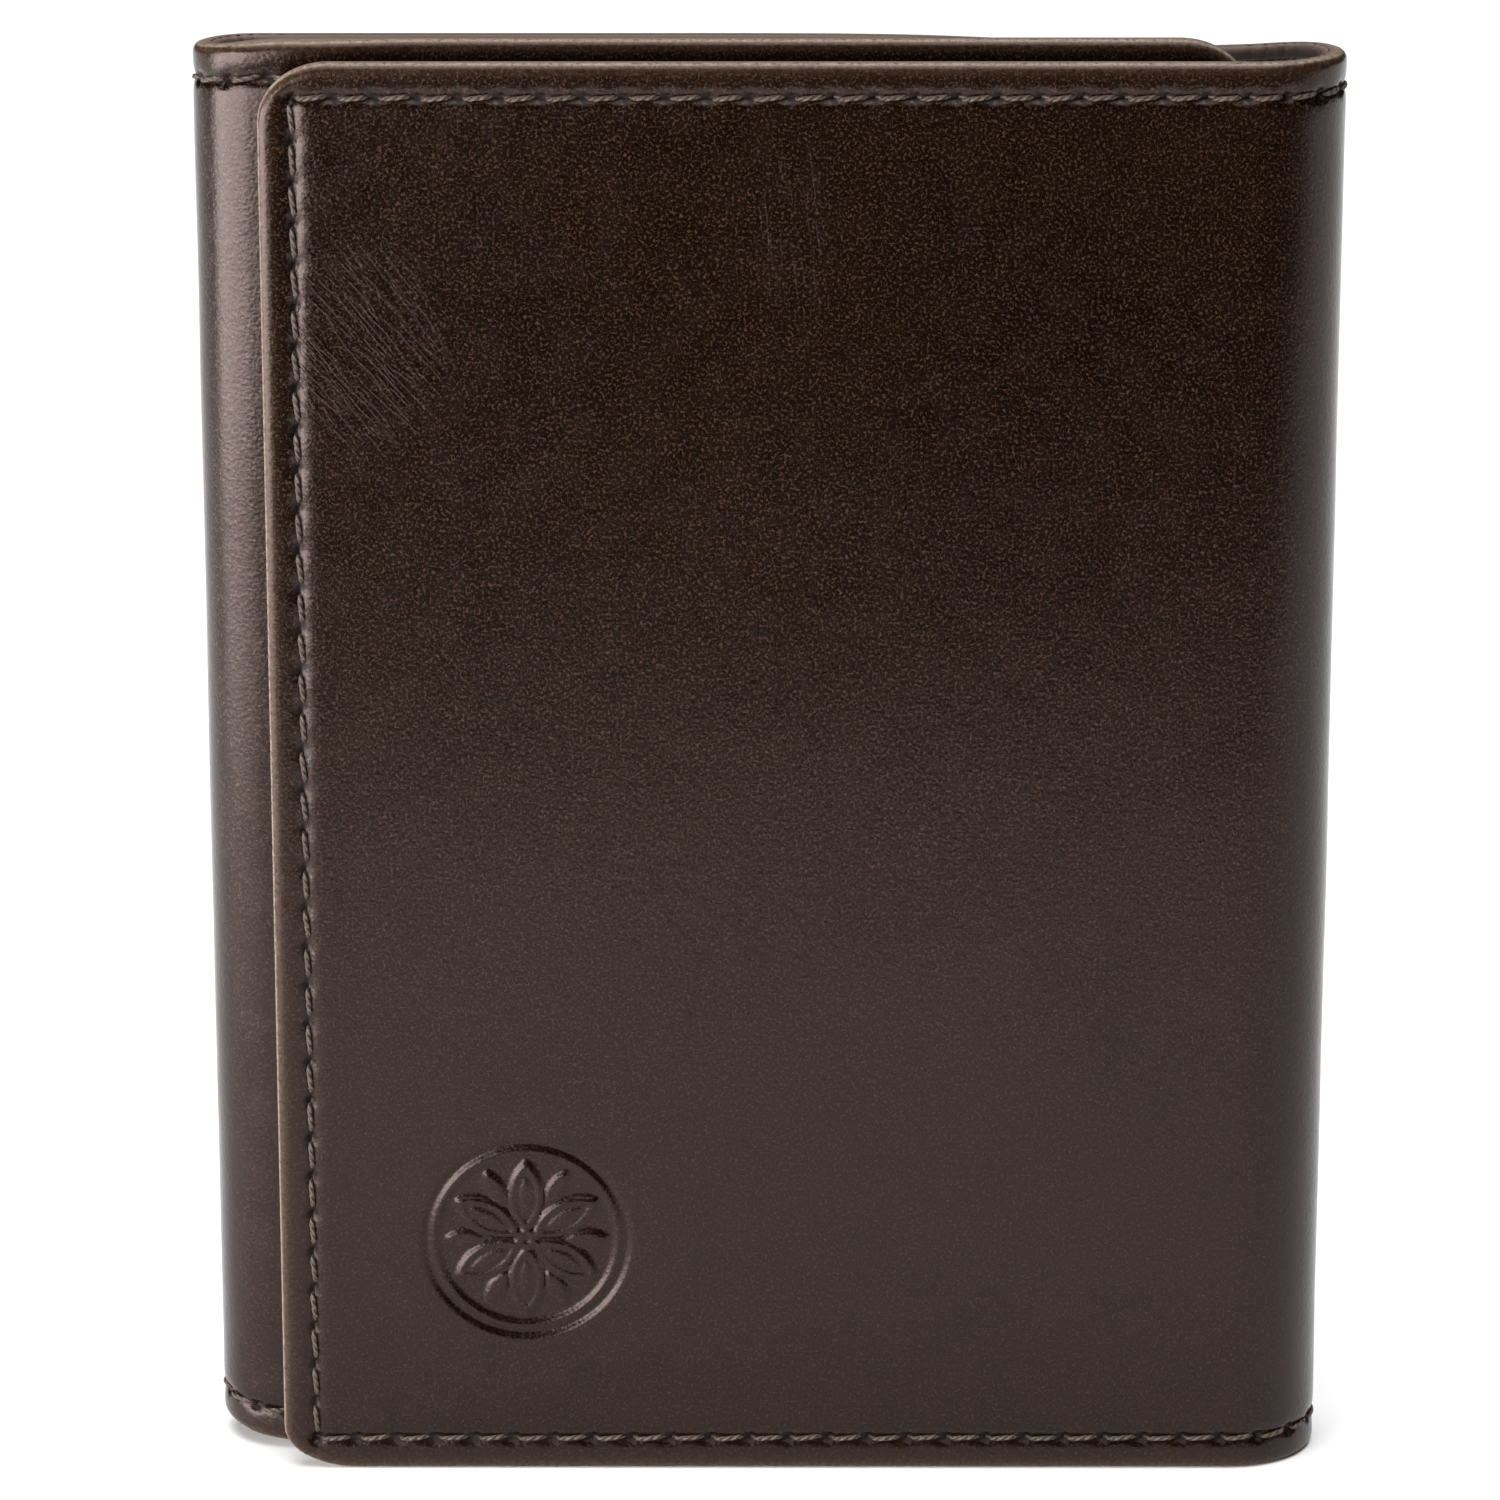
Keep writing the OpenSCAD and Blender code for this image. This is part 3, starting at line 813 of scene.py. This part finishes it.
def inside_leather():
    """Matt brown leather of the pockets."""
    m = Mix("inside_leather")
    hide = m.attribute("hide")
    grain = m.noise(hide, 3.0, 4, 0.6)
    patch = m.noise(hide, 0.3, 3, 0.6)
    pores = m.add("ShaderNodeTexVoronoi", {"Vector": hide, "Scale": 2.2}, feature="SMOOTH_F1")
    edge_rub_and_highlight = m.attribute("edge_rub_and_highlight", "Fac")
    colour = m.blend(m.span(patch, 0.3, 0.7), (0.018, 0.0088, 0.005), (0.028, 0.015, 0.009))
    colour = m.blend(m.span(grain, 0.45, 0.7, 0, 0.5), colour, (0.05, 0.031, 0.022))
    colour = m.blend(m.sum("MULTIPLY", edge_rub_and_highlight, 0.6), colour, (0.12, 0.08, 0.055))
    normal = m.bump(pores.outputs["Distance"], 0.00008, 0.6)
    normal = m.bump(grain, 0.0001, 0.5, normal)
    return m.set(Base_Color=colour, Roughness=m.span(grain, 0.3, 0.7, 0.5, 0.64), Normal=normal,
                 Sheen_Weight=0.08)


def lining_cloth():
    """Fine twill lining."""
    m = Mix("lining_cloth")
    hide = m.attribute("hide")
    parts = m.add("ShaderNodeSeparateXYZ", {0: hide})
    x, z = parts.outputs[0], parts.outputs[1]
    warp = m.sum("SINE", m.sum("MULTIPLY", x, 2 * math.pi / 0.32))
    weft = m.sum("SINE", m.sum("MULTIPLY", z, 2 * math.pi / 0.32))
    twill = m.sum("SINE", m.sum("MULTIPLY", m.sum("ADD", x, z), 2 * math.pi / 0.64))
    weave = m.sum("ADD", m.sum("MULTIPLY", warp, weft), m.sum("MULTIPLY", twill, 0.6))
    slub = m.noise(hide, 0.6, 4, 0.6)
    colour = m.blend(m.span(weave, -1, 1.2), (0.016, 0.011, 0.009), (0.05, 0.036, 0.032))
    colour = m.blend(m.span(slub, 0.4, 0.75, 0, 0.5), colour, (0.06, 0.045, 0.04))
    normal = m.bump(weave, 0.00003, 0.7)
    return m.set(Base_Color=colour, Roughness=m.span(slub, 0.3, 0.7, 0.55, 0.75), Normal=normal,
                 Sheen_Weight=0.3, Sheen_Roughness=0.4)


def waxed_thread():
    """Two-ply taupe thread."""
    m = Mix("waxed_thread")
    strand = m.add("ShaderNodeSeparateXYZ", {0: m.attribute("strand")})
    twist = m.sum("SINE", m.sum("ADD", m.sum("MULTIPLY", strand.outputs[0], 9.5),
                                m.sum("MULTIPLY", strand.outputs[1], 2.0)))
    where = m.add("ShaderNodeTexCoord").outputs["Object"]
    fluff = m.noise(where, 4200, 3, 0.7)
    batch = m.noise(where, 260, 2, 0.5)
    # painted shade: the twist's troughs between the plies are coloured dark, its crests keep the
    # taupe of the thread
    colour = m.blend(m.span(twist, -0.9, 0.6), (0.016, 0.009, 0.006), (0.085, 0.052, 0.036))
    colour = m.blend(m.span(fluff, 0.45, 0.7, 0, 0.5), colour, (0.21, 0.145, 0.108))
    colour = m.blend(m.span(batch, 0.3, 0.7, 0, 0.5), colour, (0.04, 0.023, 0.016))
    normal = m.bump(twist, 0.00006, 0.9)
    normal = m.bump(fluff, 0.00003, 0.6, normal)
    return m.set(Base_Color=colour, Roughness=m.span(fluff, 0.2, 0.8, 0.45, 0.7), Normal=normal)


def fibre_board():
    """Plain grey-brown stiffener board."""
    m = Mix("fibre_board")
    where = m.add("ShaderNodeTexCoord").outputs["Object"]
    fleck = m.noise(where, 1400, 5, 0.7)
    pulp = m.noise(where, 220, 4, 0.6)
    colour = m.blend(m.span(fleck, 0.35, 0.7), (0.2, 0.16, 0.12), (0.34, 0.28, 0.22))
    colour = m.blend(m.span(pulp, 0.4, 0.7, 0, 0.5), colour, (0.26, 0.2, 0.15))
    return m.set(Base_Color=colour, Roughness=m.span(pulp, 0.3, 0.7, 0.8, 0.92),
                 Normal=m.bump(fleck, 0.00004, 0.6))


def clear_film():
    """Clear flexible film of the card window, a little scuffed."""
    m = Mix("clear_film")
    where = m.add("ShaderNodeTexCoord").outputs["Object"]
    scuff = m.noise(m.stretch(where, (1, 1, 0.15)), 900, 5, 0.7)
    wave = m.noise(where, 60, 2, 0.5)
    return m.set(Base_Color=(0.92, 0.94, 0.95, 1), Roughness=m.span(scuff, 0.4, 0.8, 0.06, 0.3),
                 Normal=m.bump(wave, 0.0002, 0.4), Transmission_Weight=1.0, IOR=1.4)


def pale_floor():
    """Plain pale studio floor."""
    m = Mix("pale_floor")
    where = m.add("ShaderNodeTexCoord").outputs["Object"]
    tone = m.noise(where, 3.0, 2, 0.5)
    colour = m.blend(m.span(tone, 0.3, 0.7), (0.86, 0.86, 0.86), (0.88, 0.88, 0.88))
    return m.set(Base_Color=colour, Roughness=0.6, Specular_IOR_Level=0.2)


def wear(obj, material):
    obj.data.materials.clear()
    obj.data.materials.append(material)


LEATHER = cover_leather()
POCKET = inside_leather()
CLOTH = lining_cloth()
THREAD = waxed_thread()
BOARD = fibre_board()
FILM = clear_film()

# ---- covers ----

# the parts of the pattern whose CAD nodes each run stands for
PARTS_OF = {
    "front": ("front", "right_fold"),
    "back_right": ("back",),
    "back_left": ("left_fold",),
    "inner": ("inner",),
}


def stand_for(run, kind):
    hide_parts(*(part + "_" + kind for part in PARTS_OF[run.name]))


for run in RUNS:
    skin = cover(run)
    wear(skin, LEATHER)
    bend_with(skin, run)
    stand_for(run, "cover")

# ---- linings and dividers ----


def layer_sheet(name, run, v, t, drop, step, material):
    inset = LAYER_INSET if run.free else 0
    low = run.rise[0] + LAYER_INSET
    height = run.height - 2 * LAYER_INSET + drop
    across = lines(run.flat - inset, step)
    up = lines(height, 2.0, (0, 0.25, 0.6, 1.2), (0, 0.25, 0.6, 1.2))
    obj = bent_sheet(name, run, inset, low, v, across, up, BENDS)
    thicken(obj, t)
    s, z, deep = run.read(points(obj))
    if run.free:
        # its corners follow the cover's, one inset further in
        above, below = low + height - z, z - low
        top_r = [max(r - LAYER_INSET + drop, 0.8) for r in CORNERS["top"]]
        bottom_r = [r - LAYER_INSET for r in CORNERS["bottom"]]
        s1, above1 = rounded(s - inset, above, top_r)
        s2, below1 = rounded(s - inset, below, bottom_r)
        upper = above < below
        s = inset + np.where(upper, s1, s2)
        z = np.where(upper, low + height - above1, low + below1)
    wander = CLOTH_PLEAT * gather(run, s, z) * smooth(run.flat - 3, run.flat + 2, s)
    roll = CLOTH_ROLL * waves(31, run.long(s), z, 30, 8)
    deep = deep + wander + roll
    mark(obj, "hide", np.stack([run.long(s), z, deep], -1))
    edge = np.minimum(z - low, low + height - z)
    mark(obj, "edge_rub_and_highlight", np.exp(-edge / 0.3))
    put_points(obj, run.place(s, z, deep))
    finish_faces(obj, SHARP)
    wear(obj, material)
    return obj, (run.end - inset, height)


for run in RUNS:
    cloth, flat = layer_sheet(run.name + "_cloth", run, LINING_V, LINING_T, 0, 1.2, CLOTH)
    bend_with(cloth, run)
    wall, _ = layer_sheet(run.name + "_divider_leather", run, DIVIDER_V, DIVIDER_T,
                          DIVIDER_TOP + LAYER_INSET, 1.2, POCKET)
    bend_with(wall, run)

for run in RUNS:
    stand_for(run, "lining")
    stand_for(run, "divider")

# ---- seams ----

stitch = stitch_shape()
draw = np.random.default_rng(5)
for run in RUNS:
    outer = sew(run.name + "_stitches", run, stitch,
                seam_places(run, 0.1, 1, draw), 1)
    wear(outer, THREAD)
    bend_with(outer, run)
    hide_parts(*(part + ("_thread" if "fold" in part else "_seam_thread")
                         for part in PARTS_OF[run.name]))

# ---- pockets ----

RIM_W = 2.0
MOUTH_ROUND = 1.2


def pocket_leaf(name, run, node, body, bow):
    """One slot's leaf: a thin plate with a turned mouth, and a rim sewn to what is behind."""
    lo, hi = box_mm(node)
    ends = sorted(run.way * (x - run.start) for x in (lo[0], hi[0]))
    depths = sorted(run.radius - run.face * (y - run.fold[1]) for y in (lo[1], hi[1]))
    across = lines(ends[1] - ends[0], 1.6, (0, 0.2, 0.5, 1, RIM_W), (0, 0.2, 0.5, 1, RIM_W))
    up = lines(hi[2] - lo[2], 2.0, (0, 0.2, 0.5, 1, RIM_W), (0, 0.12, 0.3, 0.6, 0.9, 1.2, 1.5, 2))
    thick = depths[1] - depths[0] - SLOT_GAP
    obj = bent_sheet(name, run, ends[0], lo[2], depths[1] - thick, across, up, 0)
    thicken(obj, thick)
    # the rim's back is drawn out to the layer behind it
    co = points(obj)
    s, z, v = run.read(co)
    side = np.minimum(np.minimum(s - ends[0], ends[1] - s), z - lo[2])
    rim = (side < RIM_W + 0.01) & (np.abs(v - depths[1] + thick) < 0.01)
    rim_faces = {f.index for f in obj.data.polygons if all(rim[i] for i in f.vertices)}
    edit(obj)
    pick(obj, "faces", lambda f: f.index in rim_faces)
    bpy.ops.mesh.extrude_region_move(
        TRANSFORM_OT_translate={"value": (0, run.face * SLOT_GAP * MM, 0)})
    done()
    s, z, v = run.read(points(obj))
    side = np.minimum(s - ends[0], ends[1] - s)
    mouth = hi[2] - z
    s_in, mouth_in = rounded(side, mouth, (MOUTH_ROUND, MOUTH_ROUND))
    s = np.where(s - ends[0] < ends[1] - s, ends[0] + s_in, ends[1] - s_in)
    z = hi[2] - mouth_in
    middle = np.clip(side / 12, 0, 1)
    z = z - bow * smooth(0, 1, middle) * np.clip((z - lo[2]) / (hi[2] - lo[2]), 0, 1) ** 6
    front_side = np.abs(v - depths[1]) < 0.01
    nearest = np.minimum(np.minimum(side, mouth), z - lo[2])
    tuck = 0.16 * (1 - np.sqrt(np.clip(1 - (1 - np.clip(nearest / 0.3, 0, 1)) ** 2, 0, 1)))
    line = 0.09 * np.exp(-(((mouth - 1.2) / 0.22) ** 2))
    v = np.where(front_side, v - tuck - line, v)
    mark(obj, "hide", np.stack([run.long(s), z, v], -1))
    mark(obj, "edge_rub_and_highlight", np.exp(-nearest / 0.25))
    put_points(obj, run.place(s, z, v))
    finish_faces(obj, SHARP)
    wear(obj, POCKET)
    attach(obj, body)
    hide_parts(node)
    return obj


for part in ("rear", "middle", "near"):
    pocket_leaf("front_pocket_" + part, front, "front_slot_" + part, "front_flap", 0.5)
    pocket_leaf("inner_pocket_" + part, inner, "inner_slot_" + part, "inner_flap", 0.5)


def plate(name, node, border=None, corner=0):
    """A flat piece at a node's place, made from one face; with a border it is a frame."""
    lo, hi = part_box(node)
    bpy.ops.object.select_all(action="DESELECT")
    bpy.ops.mesh.primitive_plane_add(size=1)
    obj = bpy.context.object
    obj.name = obj.data.name = name
    edit(obj)
    bpy.ops.mesh.select_all(action="SELECT")
    bpy.ops.transform.resize(value=(hi.x - lo.x, hi.z - lo.z, 1))
    if border:
        bpy.ops.mesh.inset(thickness=border * MM)
        bpy.ops.mesh.select_mode(type="FACE")
        done()
        edit(obj)
        pick(obj, "faces", lambda f: len(f.verts) == 4 and all(
            abs(p.co.x) < (hi.x - lo.x) / 2 - 1e-4 for p in f.verts))
        bpy.ops.mesh.delete(type="FACE")
        done()
        edit(obj, "VERT")
        pick(obj, "verts", lambda p: abs(p.co.x) < (hi.x - lo.x) / 2 - 1e-4)
        bpy.ops.mesh.bevel(offset=corner * MM, segments=6, affect="VERTICES")
    done()
    co = points(obj)
    middle = (lo + hi) / 2
    # stands up facing the wallet's inside, which is the front of the back panel
    put_points(obj, np.stack([middle.x + co[:, 0], np.full(len(co), lo.y),
                              middle.z + co[:, 1]], -1))
    if sum(p.normal.y for p in obj.data.polygons) > 0:
        edit(obj)
        bpy.ops.mesh.select_all(action="SELECT")
        bpy.ops.mesh.flip_normals()
        done()
    return obj, (lo, hi)


def round_edges(obj, width, segments=3):
    only(obj)
    soft = obj.modifiers.new("soft", "BEVEL")
    soft.width = width * MM
    soft.segments = segments
    soft.limit_method = "ANGLE"
    bpy.ops.object.modifier_apply(modifier=soft.name)


def mark_flat(obj):
    """The materials' values for a flat piece."""
    co = points(obj) / MM
    mark(obj, "hide", co[:, (0, 2, 1)])
    mark(obj, "edge_rub_and_highlight", np.zeros(len(co)))


window, (lo, hi) = plate("card_window_frame", "window_frame", 9.0, 4.0)
thicken(window, (hi.y - lo.y) / MM)
round_edges(window, 0.16)
mark_flat(window)
finish_faces(window, SHARP)
wear(window, POCKET)
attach(window, "back_panel")
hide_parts("window_frame")

film, (lo, hi) = plate("card_window_film", "window_film")
thicken(film, (hi.y - lo.y) / MM - SLOT_GAP)
round_edges(film, 0.05, 2)
finish_faces(film, SHARP)
wear(film, FILM)
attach(film, "back_panel")
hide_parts("window_film")

back_leaf, _ = plate("back_pocket", "back_card_slot")
edit(back_leaf)
bpy.ops.mesh.select_all(action="SELECT")
bpy.ops.mesh.subdivide(number_cuts=24)
done()
thicken(back_leaf, SLOT_T)
round_edges(back_leaf, 0.15)
mark_flat(back_leaf)
finish_faces(back_leaf, SHARP)
wear(back_leaf, POCKET)
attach(back_leaf, "back_panel")
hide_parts("back_card_slot")

# ---- seams inside the wallet ----


def row(run, v, from_, to, draw):
    """Stitches in a straight line of the inside, between two (s, z) points."""
    length = math.dist(from_, to)
    count = max(1, round(length / STITCH))
    turn = math.pi / 2 if abs(to[1] - from_[1]) > abs(to[0] - from_[0]) else 0
    for k in range(count):
        part = (k + 0.5) / count
        yield (from_[0] + (to[0] - from_[0]) * part, from_[1] + (to[1] - from_[1]) * part,
               v, turn + draw.uniform(-0.09, 0.09), draw.uniform(0.92, 1.0))


def pocket_seams(run, nodes, name, node, body, draw):
    """The U of stitches round the nearest leaf, and the stitches beside each mouth."""
    places = []
    tops = []
    for leaf_node in nodes:
        lo, hi = box_mm(leaf_node)
        ends = sorted(run.way * (x - run.start) for x in (lo[0], hi[0]))
        depth = max(run.radius - run.face * (y - run.fold[1]) for y in (lo[1], hi[1]))
        tops.append((hi[2], depth, lo[2], ends))
    tops.sort(key=lambda leaf_top: leaf_top[0])
    low, ends = tops[0][2] + RIM_W / 2, tops[0][3]
    left, right = ends[0] + RIM_W / 2, ends[1] - RIM_W / 2
    places += row(run, tops[0][1], (left, low), (right, low), draw)
    for top, depth, _, _ in tops:
        for s in (left, right):
            places += row(run, depth, (s, low), (s, top - 0.5), draw)
        low = top + 0.5
    sewn = sew(name, run, stitch, places, -1)
    wear(sewn, THREAD)
    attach(sewn, body)
    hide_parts(node)


def inside_places(run, draw):
    """The main seam where it shows inside: on the divider, and on the lining above it."""
    split = run.rise[1] + DIVIDER_TOP
    on_divider, on_lining = DIVIDER_V + DIVIDER_T, LINING_V + LINING_T
    return [(s, z, on_lining if z > split else on_divider, turn, big)
            for s, z, _, turn, big in seam_places(run, 0, 1, draw)]


for run in RUNS:
    sewn = sew(run.name + "_inside_stitches", run, stitch, inside_places(run, draw), -1)
    wear(sewn, THREAD)
    bend_with(sewn, run)
SLOTS = ("rear", "middle", "near")
pocket_seams(front, ["front_slot_" + p for p in SLOTS], "front_pocket_stitches",
             "front_pocket_thread", "front_flap", draw)
pocket_seams(inner, ["inner_slot_" + p for p in SLOTS], "inner_pocket_stitches",
             "inner_pocket_thread", "inner_flap", draw)

back_whole = Run("back", LEFT_X, (RIGHT_X, RIGHT_Y), RIGHT_R, 1, 1,
                 (back_lo[2], back_hi[2]), False, ("back_panel", "right_fold"))
pocket_seams(back_whole, ["back_card_slot", "window_frame"], "back_pocket_stitches",
             "back_pocket_thread", "back_panel", draw)
bpy.data.objects.remove(stitch)

# ---- boards ----

for node in ("front_board", "inner_board", "back_board"):
    wear(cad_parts[node], BOARD)

# ---- stage ----

bpy.ops.object.select_all(action="DESELECT")
bpy.ops.mesh.primitive_plane_add(size=8, location=(0, 0, 0))
floor = bpy.context.object
floor.name = "floor"
floor.data.materials.append(pale_floor())

# a dark card lies in front, out of the camera's sight, and darkens what the leather mirrors
bpy.ops.mesh.primitive_plane_add(size=1, location=(0, -1.19, 0.001))
card = bpy.context.object
card.name = "dark_card"
card.scale = (4, 2, 1)
shade = Mix("dark_card")
card.data.materials.append(shade.set(Base_Color=(0.01, 0.01, 0.01, 1), Roughness=0.9))
card.visible_camera = False
card.visible_shadow = False


def softbox(name, place, at, size, power):
    data = bpy.data.lights.new(name, "AREA")
    data.shape = "RECTANGLE"
    data.size, data.size_y = size
    data.energy = power
    obj = bpy.data.objects.new(name, data)
    bpy.context.collection.objects.link(obj)
    obj.location = place
    aim = Vector(at) - Vector(place)
    obj.rotation_euler = aim.to_track_quat("-Z", "Y").to_euler()
    obj.visible_camera = False
    return obj


sky = bpy.data.objects.new("sky_panel", bpy.data.lights.new("sky_panel", "SUN"))
sky.data.energy = 4.2
sky.data.angle = math.radians(60)
bpy.context.collection.objects.link(sky)
sky.location = (0, 0, 2)
softbox("front_above", (0, -0.7, 1.0), (0, -0.05, 0), (0.8, 0.5), 2.6)
softbox("left_card", (-0.29, -0.215, 0.08), (0, 0, 0.06), (0.45, 0.16), 2.9)

world = bpy.data.worlds.new("room")
world.use_nodes = True
backdrop = world.node_tree.nodes["Background"]
backdrop.inputs["Color"].default_value = (1, 1, 1, 1)
backdrop.inputs["Strength"].default_value = 0.02
bpy.context.scene.world = world

camera = bpy.data.objects.new("camera", bpy.data.cameras.new("camera"))
bpy.context.collection.objects.link(camera)
camera.location = (-0.0013, -0.4383, 0.1752)
LOOKS_DOWN = 15.55
camera.rotation_euler = (math.radians(90 - LOOKS_DOWN), 0, 0)
camera.data.lens = 150.35
camera.data.sensor_width = 36
camera.data.clip_start = 0.02
bpy.context.scene.camera = camera
bpy.context.scene.view_settings.view_transform = "Standard"
